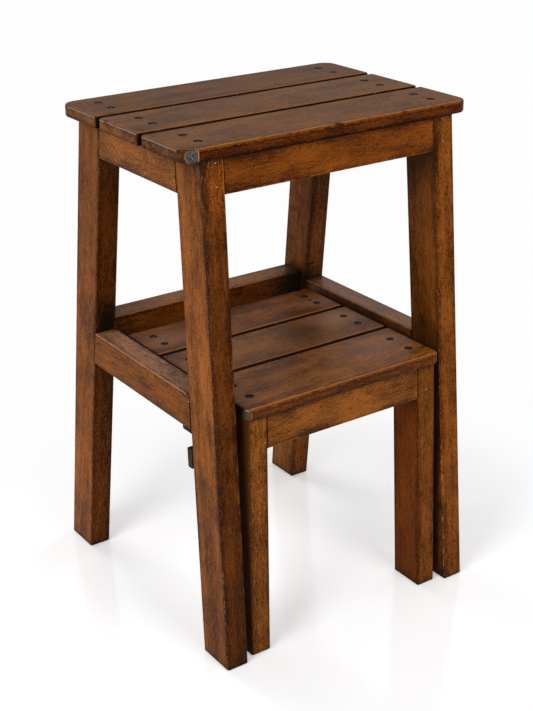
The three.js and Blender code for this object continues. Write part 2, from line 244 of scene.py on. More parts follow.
def screw_reach(slat):
    """How far a slat's four screws stand from its middle, along it and across it."""
    low, high = (np.array(corner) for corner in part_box(slat))
    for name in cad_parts:
        if "_screw_" in name:
            screw = sum(np.array(corner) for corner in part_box(name)) / 2
            inside = (low < screw)[:Z].all() and (screw < high)[:Z].all()
            if inside and screw[Z] > low[Z] - SCREW_DROP:
                return np.abs(screw - (low + high) / 2)[:Z].tolist()
    raise ValueError(f"no screw in {slat}")


def facing(side):
    """The axis that a face such as "-y" looks along, and its sign."""
    return "xyz".index(side[1]), 1 if side[0] == "+" else -1


# The wood's noises: lumps per metre along the grain and across it, a shift that sets each apart,
# and the noise's detail and roughness
NOISES = {
    "cloud": (6, 38, 0.3, 2.0, 0.5),
    "mottle": (20, 34, 1.5, 2.0, 0.5),
    "fleck": (90, 170, 4.5, 2.0, 0.5),
    "streak": (9, 150, 8.5, 3.0, 0.65),
    "fibre": (110, 640, 2.5, 2.0, 0.6),
    "speck": (520, 800, 3.2, 1.0, 0.5),
    "hairline": (55, 1200, 0.9, 1.0, 0.5),
    "pore": (240, 900, 6.5, 1.0, 0.5),
    "warp": (7, 12, 3.5, 2.0, 0.5),
    "rag": (120, 220, 7.5, 3.0, 0.65),
    "patch": (40, 40, 9.5, 3.0, 0.6),
    "chip": (310, 420, 0.7, 1.0, 0.5),
}
# How far the noises move with a piece's seed, along the grain and across it
SEED_ALONG = 7.31
SEED_ACROSS = 3.17


class Board:
    """One piece of wood: its nodes, its coordinates along and across the grain, and its noises."""

    def __init__(self, node, along, seed):
        self.paint = paint = Paint(bpy.data.materials.new(f"wood_{node}"))
        self.seed = seed
        lean, middle, self.half = upright_box(node, along)
        self.place = x, y, z = paint.place()
        self.upright = [x - z * lean[X] - middle[X], y - z * lean[Y] - middle[Y], z - middle[Z]]
        across = sorted((axis for axis in (X, Y, Z) if axis != along), key=lambda axis: -self.half[axis])
        self.length, self.width, self.thickness = (self.upright[axis] for axis in (along, *across))
        self.noises = {
            name: paint.noise(self.spread(*lumps), detail, roughness)
            for name, (*lumps, detail, roughness) in NOISES.items()}
        gap = [self.half[axis] - paint.size(self.upright[axis]) for axis in (X, Y, Z)]
        nearest = paint.least(gap[X], paint.least(gap[Y], gap[Z]))
        farthest = paint.most(gap[X], paint.most(gap[Y], gap[Z]))
        self.edge = gap[X] + gap[Y] + gap[Z] - nearest - farthest

    def spread(self, per_length, per_width, shift):
        """Coordinates stretched along the grain, different for each piece."""
        return self.paint.vector(
            self.length * per_length + (self.seed * SEED_ALONG + shift),
            self.width * per_width + (self.seed * SEED_ACROSS - shift), self.thickness * per_width)

    def swing(self, name):
        """A noise as a number on either side of 0."""
        return self.noises[name] - 0.5


# Growth rings: how far they wander, how much streaks bend them, where in a ring its line rises and
# where it falls, and the patches of mottle that show them
RING_WANDER = 0.025
RING_STREAK = 0.6
RING_RISE = (0.45, 0.85)
RING_FALL = (1.0, 0.9)
RING_PATCHES = (0.36, 0.58)


def growth_rings(board, heart, tilt, spacing):
    """1 on the lines of the growth rings and 0 between them."""
    paint = board.paint
    warp = board.swing("warp")
    across = board.width - heart[0] + warp * RING_WANDER
    through = board.thickness - heart[1] + board.length * tilt + warp * RING_WANDER
    turns = paint.length(across, through) * (1 / spacing) + board.noises["streak"] * RING_STREAK
    phase = paint.math("FRACT", turns)
    line = paint.ramp(phase, *RING_RISE) * paint.ramp(phase, *RING_FALL)
    return line * paint.ramp(board.noises["mottle"], *RING_PATCHES)


# Dents: how they are scattered, their radii, how many there are and their strength
DENT_CELLS = (90, 150, 5.5)
DENT_RANGE = (0.15, 0.07)
DENT_CHANCE = (0.40, 0.43)
DENT_STRENGTH = 0.8


def dents(board):
    """1 in small dents and worm holes and 0 elsewhere."""
    distance, chance = board.paint.cells(board.spread(*DENT_CELLS))
    return board.paint.ramp(distance, *DENT_RANGE) * board.paint.ramp(chance, *DENT_CHANCE)


# The stain: its middle between its darkest and its lightest, how far each noise moves it, and its gain
STAIN_MIDDLE = 0.54
STAIN_SHARES = {"cloud": 1.0, "mottle": 1.05, "fleck": 0.25, "streak": 0.8, "fibre": 1.2, "speck": 1.5}
STAIN_GAIN = 1.02
# Where pores and hairlines start, and how dark they are
PORE_RANGE = (0.66, 0.72)
PORE_DARK = 0.55
HAIRLINE_RANGE = (0.57, 0.68)
HAIRLINE_DARK = 0.42
# A darker rim along the edges
RIM_DEPTH = 0.0085
RIM_WANDER = 0.012
RIM_DARK = 0.38


def stained(board, stain, contrast, ring, figure, pore):
    """The stain's colour: darker near the edges and in the pores, lighter on the rings' lines."""
    paint = board.paint
    share = STAIN_MIDDLE
    for name, weight in STAIN_SHARES.items():
        share = share + board.swing(name) * (weight * contrast)
    rim = paint.ramp(board.edge + board.swing("patch") * RIM_WANDER, RIM_DEPTH, 0.0)
    colour = paint.blend(*stain, share + ring * figure - rim * RIM_DARK)
    hairline = paint.ramp(board.noises["hairline"], *HAIRLINE_RANGE)
    return paint.scaled(colour, STAIN_GAIN - pore * PORE_DARK - hairline * HAIRLINE_DARK)


# How squarely a face has to look one way to take its tint
FACING_RANGE = (0.4, 0.85)
# How a plain number tints red, green and blue
TINT_POWERS = (1, 1.25, 1.6)


def shaded(board, colour, face_tint_and_shade):
    """The colour tinted on faces by the way they look: partly the stain's own colour, partly painted light
    and shade.
    """
    paint = board.paint
    looks = paint.parts(paint.node("ShaderNodeNewGeometry", "Normal"))
    for side, shade in face_tint_and_shade.items():
        axis, sign = facing(side)
        tint = shade if isinstance(shade, tuple) else tuple(shade ** power for power in TINT_POWERS)
        share = paint.ramp(looks[axis], *(bound * sign for bound in FACING_RANGE))
        colour = paint.tinted(colour, tint, share)
    return colour


# The dark line on the edges: its depths, how ragged it is, the patches that have it and its strength
SOOT_RANGE = (0.0014, 0.0004)
SOOT_WANDER = 0.003
SOOT_PATCHES = (0.42, 0.54)
SOOT_STRENGTH = 0.6


def sooty(board, colour, soot):
    """The colour with a thin dark line along patches of the edges."""
    paint = board.paint
    line = paint.ramp(board.edge + board.swing("rag") * SOOT_WANDER, *SOOT_RANGE)
    patches = paint.ramp(board.noises["patch"], *SOOT_PATCHES)
    return paint.blend(colour, soot, line * patches * SOOT_STRENGTH)


# A band along an edge (wear and dirt, and also painted highlights and painted shade): its faces with how
# deep it goes from each, its colour, its strength, and how much of its length it covers
EdgeBand = namedtuple("EdgeBand", "faces colour strength cover")
# Where in its depth an edge's wear fades
WEAR_FADE = (1.0, 0.7)
# How ragged a line is when more of its length is covered than STEADY_COVER, and when less is
STEADY_COVER = 0.9
STEADY_WANDER = 1.0
RAGGED_WANDER = 2.6
# The noise where a band starts to show with no cover, how much sooner it does with full cover, and its
# fade
BAND_START = 0.64
BAND_SPAN = 0.34
BAND_FADE = 0.05


def edge_banded(board, colour, edges):
    """The colour with bands along the edges given: wear and dirt, painted highlights and painted shade."""
    paint = board.paint
    for band in edges:
        reach = 0.0
        for side, depth in band.faces:
            axis, sign = facing(side)
            reach = paint.most(reach, (board.half[axis] - board.upright[axis] * sign) * (1 / depth))
        wander = STEADY_WANDER if band.cover > STEADY_COVER else RAGGED_WANDER
        line = paint.ramp(reach + board.swing("rag") * wander, *WEAR_FADE)
        start = BAND_START - BAND_SPAN * band.cover
        showing = paint.ramp(board.noises["patch"], start, start + BAND_FADE)
        colour = paint.blend(colour, band.colour, line * showing * band.strength)
    return colour


# Chips on the edges: their depths, how many there are and their strength
CHIP_RANGE = (0.0020, 0.0008)
CHIP_CHANCE = (0.69, 0.74)
CHIP_STRENGTH = 0.6


def chipped(board, colour):
    """The colour with small pale chips on the edges."""
    paint = board.paint
    chip = paint.ramp(board.edge, *CHIP_RANGE) * paint.ramp(board.noises["chip"], *CHIP_CHANCE)
    return paint.blend(colour, TAN_WEAR_AND_HIGHLIGHT, chip * CHIP_STRENGTH)


# A darker ring round a screw: its radii, how ragged it is and its strength
COLLAR_RANGE = (0.0062, 0.0050)
COLLAR_WANDER = 0.0012
COLLAR_STRENGTH = 0.8


def collared(board, colour, slat):
    """The colour darker in a ring round a slat's screws."""
    paint = board.paint
    along, across = screw_reach(slat)
    away = paint.length(paint.size(board.length) - along, paint.size(board.width) - across)
    collar = paint.ramp(away + board.swing("rag") * COLLAR_WANDER, *COLLAR_RANGE)
    return paint.blend(colour, GRIME_AND_SHADE, collar * COLLAR_STRENGTH)


# A coloured spot, its reach along each axis, its strength, and how much of it is plain before it fades
Mark = namedtuple("Mark", "place reach colour strength plain")
# A spot where the wood is lighter by its gain, or darker with a gain below 1
Tone = namedtuple("Tone", "place reach gain plain")
# Where a spot ends, as a share of its reach, and how ragged its edge is
MARK_EDGE = 1.05
MARK_WANDER = 0.7
# Fine scratches on the bare spots: lumps per metre, how wide and how strong they are, and their flecks
SCRATCH_SCALE = 260
SCRATCH_RANGE = (0.018, 0.004)
SCRATCH_STRENGTH = 0.4
SCRATCH_FLECK = 0.08
SCRATCHES = {CHARCOAL: PALE_WEAR_AND_HIGHLIGHT, BROWN_WEAR: TAN_WEAR_AND_HIGHLIGHT}


def marked(board, colour, marks):
    """The colour with its spots of dirt and wear, and of painted shade and painted sheen."""
    paint = board.paint
    for mark in marks:
        steps = [(axis - at) * (1 / far) for axis, at, far in zip(board.place, mark.place, mark.reach)]
        inside = paint.ramp(paint.length(*steps) + board.swing("rag") * MARK_WANDER, MARK_EDGE, mark.plain)
        if isinstance(mark, Tone):
            colour = paint.scaled(colour, 1 + inside * (mark.gain - 1))
            continue
        tint = mark.colour
        if tint in SCRATCHES:
            depth = paint.size(paint.grain(board.place, SCRATCH_SCALE) - 0.5)
            scratch = paint.ramp(depth, *SCRATCH_RANGE) * SCRATCH_STRENGTH
            tint = paint.blend(tint, SCRATCHES[tint], scratch + board.noises["fleck"] * SCRATCH_FLECK)
        colour = paint.blend(colour, tint, inside * mark.strength)
    return colour


# Painted shade in crevices and in wider corners: how near another face has to be, the noise that makes the
# shade ragged and how much, how open the place is where the shade starts, and where it is full
CREVICE = (0.018, "rag", 0.3, 0.86, 0.30)
CORNER = (0.05, "patch", 0.2, 0.70, 0.30)


def shelter_shade(board, distance, noise, wander, start, full):
    """A mask for painted shade: 1 where other faces are near, and 0 in the open."""
    return board.paint.ramp(board.paint.openness(distance) + board.swing(noise) * wander, start, full)


# How rough the wood is, and how much rougher its patterns make it
ROUGHNESS = 0.42
STREAK_ROUGHNESS = 0.25
MOTTLE_ROUGHNESS = 0.1
PORE_ROUGHNESS = 0.15
CREVICE_ROUGHNESS = 0.2
# How far its patterns stand out or sink in, as shares of the relief's depth
STREAK_RELIEF = 0.45
FIBRE_RELIEF = 0.35
PORE_RELIEF = 0.4
DENT_RELIEF = 1.6
RING_RELIEF = 0.15
RELIEF_DEPTH = 0.0005


def wood(node, along, stain, seed, heart=(0.02, -0.05), tilt=0.05, spacing=0.0045, figure=0.0,
         contrast=1.0, gloss=0.05, corner_shade=0.92, face_tint_and_shade=None, edges=(), marks=()):
    """
    Stained wood for one piece, its grain along the axis given.
    heart is where the tree's middle lies from the piece's own middle, across its width and thickness,
    and tilt is how far that changes along the piece.
    spacing is how far apart the growth rings are, and figure how much lighter their lines.
    contrast is how much the stain varies, and gloss how much the wood shines.
    corner_shade is how dark the painted shade in crevices and corners gets.
    face_tint_and_shade gives tints for faces by the way they look, such as "-y" for the front: partly the
    stain's own colour and partly painted light and shade.
    """
    board = Board(node, along, seed)
    paint, noises = board.paint, board.noises
    ring = growth_rings(board, heart, tilt, spacing)
    pore = paint.ramp(noises["pore"], *PORE_RANGE)
    dent = dents(board)
    crevice_shade = shelter_shade(board, *CREVICE)

    colour = stained(board, stain, contrast, ring, figure, pore)
    colour = shaded(board, colour, face_tint_and_shade or {})
    colour = sooty(board, colour, SOOT if along == Z else GRIME_AND_SHADE)
    colour = edge_banded(board, colour, edges)
    colour = chipped(board, colour)
    if "_slat_" in node:
        colour = collared(board, colour, node)
    colour = marked(board, colour, marks)
    colour = paint.blend(colour, GRIME_AND_SHADE, dent * DENT_STRENGTH)
    # Painted shade in crevices and corners, where other faces are near
    colour = paint.blend(colour, GRIME_AND_SHADE, paint.most(crevice_shade, shelter_shade(board, *CORNER)) * corner_shade)

    roughness = (ROUGHNESS + board.swing("streak") * STREAK_ROUGHNESS
                 + board.swing("mottle") * MOTTLE_ROUGHNESS
                 + pore * PORE_ROUGHNESS + crevice_shade * CREVICE_ROUGHNESS)
    relief = (noises["streak"] * STREAK_RELIEF + noises["fibre"] * FIBRE_RELIEF - pore * PORE_RELIEF
              - dent * DENT_RELIEF + ring * RING_RELIEF)
    return paint.finish(colour, roughness, paint.bump(relief, RELIEF_DEPTH), gloss)


def set_material(node, material):
    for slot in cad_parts[node].material_slots:
        slot.material = material


# Each piece: the axis of its grain, its stain, and what sets it apart; its face tints are partly the
# stain's own colour and partly painted light and shade
LEG_ARRIS = EdgeBand((("-x", 0.0015), ("-y", 0.0022)), SOOT, 0.95, 0.8)
LEG_RUBBED = EdgeBand((("+x", 0.0030), ("-y", 0.0016)), AMBER, 0.6, 0.5)
THIN_ARRIS = EdgeBand((("-x", 0.0007), ("-y", 0.0010)), SOOT, 0.9, 0.8)
THIN_EDGES = (THIN_ARRIS, LEG_RUBBED)
FOOT_CHIPS = EdgeBand((("-x", 0.0009), ("-y", 0.0013), ("-z", 0.15)), TAN_WEAR_AND_HIGHLIGHT, 0.8, 0.6)
BRIGHT_ARRIS = EdgeBand((("-x", 0.0009), ("-y", 0.0014), ("-z", 0.30)), GOLD, 0.5, 0.75)
# Painted shade on the step leg's left flank, in the strip that shows beside the front leg
STEP_FLANK_SHADE = EdgeBand((("-x", 0.0030), ("-y", 0.0110)), FLANK_SHADE, 0.8, 1.0)
APRON_EDGES = (EdgeBand((("-y", 0.0016), ("-z", 0.0024)), AMBER, 0.7, 0.6),)
# On the seat's left ends: the pale line along the top edge is a painted highlight; the dark and amber
# lines are dirt and wear
END_EDGES = (
    EdgeBand((("-x", 0.0008), ("+z", 0.0024)), PALE_WEAR_AND_HIGHLIGHT, 0.75, 0.95),
    EdgeBand((("-x", 0.0024), ("+z", 0.0020)), GRIME_AND_SHADE, 0.8, 0.95),
    EdgeBand((("-x", 0.0046), ("+z", 0.0008)), AMBER, 0.55, 0.8),
    EdgeBand((("-x", 0.0020), ("-z", 0.0034)), GRIME_AND_SHADE, 0.6, 0.6),
)
# Along the gaps between slats: an amber line of wear on the top edge, and a near-black band below it that
# is painted shade
GAP_EDGES = (
    EdgeBand((("-y", 0.0044), ("+z", 0.0008)), AMBER, 0.85, 1.0),
    EdgeBand((("-y", 0.0014), ("+z", 0.0060)), GRIME_AND_SHADE, 0.95, 1.0),
)
# Along the front edges: dark marks and amber and gold wear on the top edge, and a dark line on the lower
# edge that is dirt and painted shadow
FRONT_EDGES = (
    EdgeBand((("-y", 0.0016), ("+z", 0.0060)), GRIME_AND_SHADE, 0.45, 0.5),
    EdgeBand((("-y", 0.0030), ("+z", 0.0034)), AMBER, 0.5, 0.8),
    EdgeBand((("-y", 0.0032), ("+z", 0.0006)), GOLD, 0.6, 0.92),
    EdgeBand((("-y", 0.0020), ("-z", 0.0032)), GRIME_AND_SHADE, 0.7, 0.6),
)
# A painted highlight along the rail's top outer edge
RAIL_HIGHLIGHT = EdgeBand((("-x", 0.0008), ("+z", 0.0020)), TAN_WEAR_AND_HIGHLIGHT, 0.75, 0.95)
RAIL_GAP = EdgeBand((("-y", 0.0030), ("+z", 0.0006)), AMBER, 0.85, 1.0)
PIECES = {
    "leg_front_left": (Z, LEG, dict(
        contrast=1.25, gloss=0.03, face_tint_and_shade={"-y": 0.58, "-x": (1.17, 1.2, 1.4)},
        edges=(LEG_ARRIS, FOOT_CHIPS, LEG_RUBBED), marks=(
            Mark((-0.190, -0.190, 0.080), (0.060, 0.060, 0.200), GRIME_AND_SHADE, 0.25, 0.2),
            Mark((-0.165, -0.200, 0.060), (0.022, 0.012, 0.160), GRIME_AND_SHADE, 0.35, 0.2),
            Tone((-0.160, -0.160, 0.600), (0.020, 0.012, 0.045), 1.75, 0.4),
            Tone((-0.182, -0.130, 0.605), (0.010, 0.035, 0.040), 0.6, 0.2)))),
    "leg_front_right": (Z, LEG, dict(
        contrast=1.0, gloss=0.03, corner_shade=0.7, face_tint_and_shade={"-x": (0.78, 0.76, 0.8), "-y": (1.04, 0.97, 0.8)},
        edges=(THIN_ARRIS, BRIGHT_ARRIS, LEG_RUBBED), marks=(
            # Painted shadow under the front apron, on the upper part of the inner face
            Tone((0.150, -0.135, 0.575), (0.008, 0.060, 0.065), 0.45, 0.2),
            Tone((0.153, -0.150, 0.345), (0.008, 0.045, 0.035), 0.45, 0.3),
            Tone((0.158, -0.195, 0.080), (0.006, 0.020, 0.200), 1.5, 0.3),
            Tone((0.182, -0.186, 0.110), (0.016, 0.030, 0.150), 1.15, 0.4)))),
    "leg_rear_left": (Z, LEG, dict(
        contrast=1.3, gloss=0.03, face_tint_and_shade={"-y": 0.55, "-x": (1.05, 1.05, 1.2)}, edges=THIN_EDGES, marks=(
            # Painted shadow under the seat, at the top of the left face
            Mark((-0.175, 0.090, 0.550), (0.060, 0.080, 0.220), GRIME_AND_SHADE, 0.25, 0.3),
            Mark((-0.166, 0.100, 0.345), (0.021, 0.030, 0.060), GRIME_AND_SHADE, 0.95, 0.3),
            Tone((-0.166, 0.112, 0.285), (0.021, 0.030, 0.040), 0.6, 0.2),
            Tone((-0.180, 0.180, 0.090), (0.080, 0.120, 0.170), 1.2, 0.4)))),
    "leg_rear_right": (Z, LEG, dict(
        contrast=1.3, gloss=0.04, face_tint_and_shade={"-x": 0.9, "-y": 0.75}, edges=THIN_EDGES, marks=(
            Tone((0.150, 0.110, 0.540), (0.012, 0.090, 0.140), 1.5, 0.4),
            Mark((0.152, 0.134, 0.439), (0.004, 0.012, 0.006), GRIME_AND_SHADE, 0.5, 0.2),
            Mark((0.153, 0.140, 0.393), (0.004, 0.009, 0.005), GRIME_AND_SHADE, 0.5, 0.2),
            Mark((0.153, 0.145, 0.373), (0.004, 0.014, 0.004), GRIME_AND_SHADE, 0.4, 0.2),
            # Painted shade in the corner where the leg meets the rear rail and the right rail
            Mark((0.154, 0.115, 0.335), (0.006, 0.020, 0.030), GRIME_AND_SHADE, 0.8, 0.4),
            Mark((0.165, 0.103, 0.347), (0.018, 0.008, 0.015), GRIME_AND_SHADE, 0.5, 0.4),
            Mark((0.1605, 0.1015, 0.3640), (0.0075, 0.006, 0.0022), GRIME_AND_SHADE, 0.9, 0.6),
            Tone((0.159, 0.157, 0.034), (0.040, 0.060, 0.130), 1.45, 0.3)))),
    "step_leg_left": (Z, LEG, dict(
        # The left face's dark tint is painted shade, where the front leg shades it
        contrast=1.1, gloss=0.03, corner_shade=0.25, face_tint_and_shade={"-y": 1.05, "-x": (0.44, 0.42, 0.38)},
        edges=(STEP_FLANK_SHADE, EdgeBand((("-x", 0.0012), ("-y", 0.0013)), SOOT, 0.9, 0.95),
               EdgeBand((("-x", 0.0007), ("-y", 0.0009)), PALE_WEAR_AND_HIGHLIGHT, 0.45, 0.6)), marks=(
            Mark((-0.120, -0.190, 0.150), (0.0005, 0.020, 0.170), GRIME_AND_SHADE, 0.5, 0.3),))),
    "step_leg_right": (Z, LEG, dict(
        contrast=0.9, gloss=0.02, face_tint_and_shade={"-x": (0.75, 0.57, 0.22), "-y": 0.96}, edges=THIN_EDGES)),
    "apron_front": (X, APRON, dict(
        figure=0.10, tilt=0.4, face_tint_and_shade={"-y": 0.92}, edges=APRON_EDGES, marks=(
            # Painted shade in the corner at the right end, beside the right leg
            Mark((0.147, -0.159, 0.586), (0.014, 0.020, 0.010), GRIME_AND_SHADE, 0.75, 0.2),
            Mark((0.151, -0.158, 0.605), (0.006, 0.020, 0.035), GRIME_AND_SHADE, 0.6, 0.3)))),
    "apron_rear": (X, APRON, dict(figure=0.12, tilt=0.2, edges=APRON_EDGES)),
    "apron_left": (Y, LEG, dict(
        figure=0.32, tilt=0.8, heart=(-0.09, 0.10), spacing=0.0063, contrast=1.15, corner_shade=0.6,
        face_tint_and_shade={"-x": (1.08, 1.12, 1.25)}, marks=(
            Tone((-0.178, 0.060, 0.580), (0.030, 0.030, 0.060), 0.75, 0.2),
            Tone((-0.178, -0.050, 0.600), (0.030, 0.060, 0.040), 1.25, 0.3)))),
    "apron_right": (Y, LEG, dict(figure=0.15, tilt=0.3, heart=(-0.04, 0.05), spacing=0.0055)),
    "step_apron_front": (X, LEG, dict(
        figure=0.12, tilt=0.5, contrast=1.2, face_tint_and_shade={"-y": 1.06}, edges=APRON_EDGES, marks=(
            Tone((0.106, -0.186, 0.300), (0.014, 0.020, 0.035), 0.6, 0.2),))),
    "side_rail_left": (Y, RAIL, dict(
        figure=0.16, tilt=0.25, heart=(0.05, -0.05), spacing=0.0060, contrast=1.35, gloss=0.04,
        # The top's strongly blue tint paints a grey sheen on it
        face_tint_and_shade={"+z": (1.2, 1.85, 7.5), "-x": 0.98}, edges=(RAIL_HIGHLIGHT,), marks=(
            Mark((-0.176, 0.117, 0.340), (0.030, 0.014, 0.004), GRIME_AND_SHADE, 0.5, 0.2),
            Mark((-0.1818, -0.1200, 0.3400), (0.003, 0.004, 0.003), GRIME_AND_SHADE, 0.9, 0.7)))),
    "side_rail_right": (Y, RAIL, dict(
        gloss=0.16, face_tint_and_shade={"-x": (1.1, 0.95, 0.7), "+z": (1.12, 1.3, 1.7)}, marks=(
            # Painted shade at the rear end, in the corner by the rear right leg and the rear rail
            Mark((0.1536, 0.1150, 0.3300), (0.012, 0.030, 0.030), GRIME_AND_SHADE, 0.9, 0.3),
            Mark((0.1700, 0.1150, 0.3400), (0.030, 0.035, 0.004), GRIME_AND_SHADE, 0.5, 0.2)))),
    "rear_rail": (X, RAIL, dict(
        # The front face's dark tint is painted shade, and the top's blue tint a painted sheen
        contrast=1.4, gloss=0.04, face_tint_and_shade={"-y": (0.78, 0.64, 0.42), "+z": (1.0, 1.3, 3.0)},
        edges=(RAIL_GAP,), marks=(
            # Painted shade at the right end, in the corner by the rear right leg
            Mark((0.1536, 0.1174, 0.3300), (0.070, 0.020, 0.060), GRIME_AND_SHADE, 0.95, 0.3),
            Mark((0.1560, 0.1400, 0.3500), (0.040, 0.040, 0.006), GRIME_AND_SHADE, 0.5, 0.2)))),
    "runner_left": (Y, RAIL, {}),
    "runner_right": (Y, RAIL, {}),
    # Seat slat faces that look into the gaps between slats are tinted near-black: painted shade
    "seat_slat_front": (X, SEAT, dict(
        figure=0.15, heart=(-0.03, -0.035), spacing=0.003, gloss=0.02,
        contrast=1.6, face_tint_and_shade={"+y": 0.1, "-y": (0.85, 0.55, 0.35), "-x": (1.0, 1.05, 1.4)},
        edges=END_EDGES + FRONT_EDGES, marks=(
            Mark((-0.2009, -0.1487, 0.6325), (0.0030, 0.0008, 0.0080), GRIME_AND_SHADE, 0.7, 0.5),
            Mark((-0.1988, -0.1528, 0.6290), (0.0040, 0.0045, 0.0060), SOOT, 0.6, 0.5),
            Mark((0.1790, -0.1605, 0.6325), (0.0160, 0.0030, 0.0060), GRIME_AND_SHADE, 0.6, 0.2),
            Mark((-0.1830, -0.1605, 0.6325), (0.0011, 0.0025, 0.0090), GOLD, 0.9, 0.7),
            Mark((-0.1906, -0.1588, 0.6322), (0.0072, 0.0078, 0.0084), TAN_WEAR_AND_HIGHLIGHT, 0.35, 0.95),
            Mark((-0.1898, -0.1585, 0.6330), (0.0068, 0.0075, 0.0082), CHARCOAL, 1.0, 0.9)))),
    "seat_slat_middle": (X, SEAT, dict(
        figure=0.3, heart=(0.02, -0.03), spacing=0.0026, gloss=0.02, contrast=1.35,
        face_tint_and_shade={"+y": 0.1, "-y": 0.1, "-x": (1.3, 1.35, 1.6)}, edges=END_EDGES + GAP_EDGES)),
    "seat_slat_rear": (X, SEAT, dict(
        figure=0.3, heart=(0.05, -0.05), spacing=0.0026, gloss=0.02, contrast=1.2,
        face_tint_and_shade={"-y": 0.1, "-x": (1.3, 1.35, 1.6), "+z": 0.8}, edges=END_EDGES + GAP_EDGES, marks=(
            Mark((0.1763, 0.0865, 0.6400), (0.0045, 0.0035, 0.003), SCREW_BLACK, 0.75, 0.7),))),
    # Step slat faces that look into the gaps between slats are tinted near-black: painted shade
    "step_slat_front": (X, STEP, dict(
        figure=0.2, tilt=0.15, contrast=1.25, gloss=0.07,
        face_tint_and_shade={"+y": 0.1, "-x": 0.75, "-y": (0.8, 0.65, 0.45), "+z": (1.12, 1.22, 1.5)},
        edges=FRONT_EDGES, marks=(
            # A painted sheen on the top
            Mark((0.090, -0.130, 0.334), (0.060, 0.050, 0.008), PAINTED_SHEEN, 0.35, 0.1),
            Mark((-0.1458, -0.1862, 0.3260), (0.0074, 0.0070, 0.0088), BROWN_WEAR, 0.9, 0.9),
            Mark((-0.1447, -0.1862, 0.3328), (0.0042, 0.0042, 0.0010), PALE_WEAR_AND_HIGHLIGHT, 0.35, 0.6),
            Mark((-0.1396, -0.1900, 0.3265), (0.0007, 0.0030, 0.0085), GOLD, 0.45, 0.5)))),
    "step_slat_middle": (X, STEP, dict(
        figure=0.2, tilt=0.15, contrast=1.25, gloss=0.06,
        face_tint_and_shade={"+y": 0.1, "-y": 0.1, "+z": (0.9, 1.0, 1.4)}, edges=GAP_EDGES, marks=(
            # A painted sheen on the top
            Mark((0.105, -0.020, 0.334), (0.060, 0.045, 0.008), PAINTED_SHEEN, 0.5, 0.1),
            Tone((0.036, -0.031, 0.334), (0.055, 0.055, 0.008), 0.52, 0.2)))),
    "step_slat_rear": (X, STEP, dict(
        figure=0.2, tilt=0.15, contrast=1.25, gloss=0.05,
        face_tint_and_shade={"-y": 0.1, "+z": (0.80, 0.75, 0.85)}, edges=GAP_EDGES, marks=(
            # Painted sheen patches on the top
            Mark((0.120, 0.040, 0.334), (0.055, 0.030, 0.008), PAINTED_SHEEN, 0.45, 0.1),
            Mark((-0.110, 0.045, 0.334), (0.050, 0.035, 0.008), PAINTED_SHEEN, 0.30, 0.2),
            Mark((0.1191, 0.0495, 0.3340), (0.0034, 0.0034, 0.003), SCREW_BLACK, 0.85, 0.8),))),
    "step_bearer_left": (Y, STEP, {}),
    "step_bearer_right": (Y, STEP, {}),
    "step_rear_rail": (X, STEP, {}),
    "tie_batten": (X, BLOCK, {}),
    "rail_pad_left": (Y, BLOCK, {}),
    "rail_pad_right": (Y, BLOCK, {}),
    "step_stop_left": (Y, BLOCK, {}),
    "step_stop_right": (Y, BLOCK, {}),
}
# The first piece's seed, and how much greater each next one's is
SEED_START = 1.7
SEED_STEP = 1.3
for number, (node, (along, stain, features)) in enumerate(PIECES.items()):
    set_material(node, wood(node, along, stain, SEED_START + number * SEED_STEP, **features))

# Screws: lumps per metre of their rubbed patches, how far those move from screw to screw, their detail and
# roughness, where they start, and how ragged they are
RUB_SCALE = 420
RUB_SHIFT = 90
RUB_NOISE = (3.0, 0.6)
RUB_RANGE = (0.42, 0.56)
RUB_WANDER = 0.3
# How far from a head's middle the black is rubbed off
BARE_RADII = (0.0029, 0.0019)
STEEL_SCALE = 2400
STEEL_ROUGHNESS = 0.5
STEEL_GRAIN = 0.3
STEEL_SMOOTH = 0.1
STEEL_RELIEF = 0.0001
STEEL_GLOSS = 0.02


def screw_metal(node):
    """Blackened steel, rubbed to bare metal in the middle of the head and here and there."""
    paint = Paint(bpy.data.materials.new(f"steel_{node}"))
    low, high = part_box(node)
    x, y, z = paint.place()
    x = x - (low[X] + high[X]) / 2
    y = y - (low[Y] + high[Y]) / 2
    shift = float(low[X] + low[Y]) * RUB_SHIFT
    rub = paint.noise(paint.vector(x * RUB_SCALE, y * RUB_SCALE, z * RUB_SCALE + shift), *RUB_NOISE)
    grain = paint.grain((x, y, z), STEEL_SCALE)
    rubbed = paint.ramp(rub + (grain - 0.5) * RUB_WANDER, *RUB_RANGE)
    showing = rubbed * paint.ramp(paint.length(x, y), *BARE_RADII)
    colour = paint.blend(SCREW_BLACK, SCREW_RUBBED, showing)
    roughness = STEEL_ROUGHNESS + (grain - 0.5) * STEEL_GRAIN - showing * STEEL_SMOOTH
    return paint.finish(colour, roughness, paint.bump(grain, STEEL_RELIEF), STEEL_GLOSS)


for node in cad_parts:
    if "_screw_" in node:
        set_material(node, screw_metal(node))

# How far the legs' faces lean over the legs' height, both in millimetres
FRONT_SLOPE = 47 / 624.7
STEP_SLOPE = 10.48 / 318.7
SIDE_SLOPE = 11 / 624.7
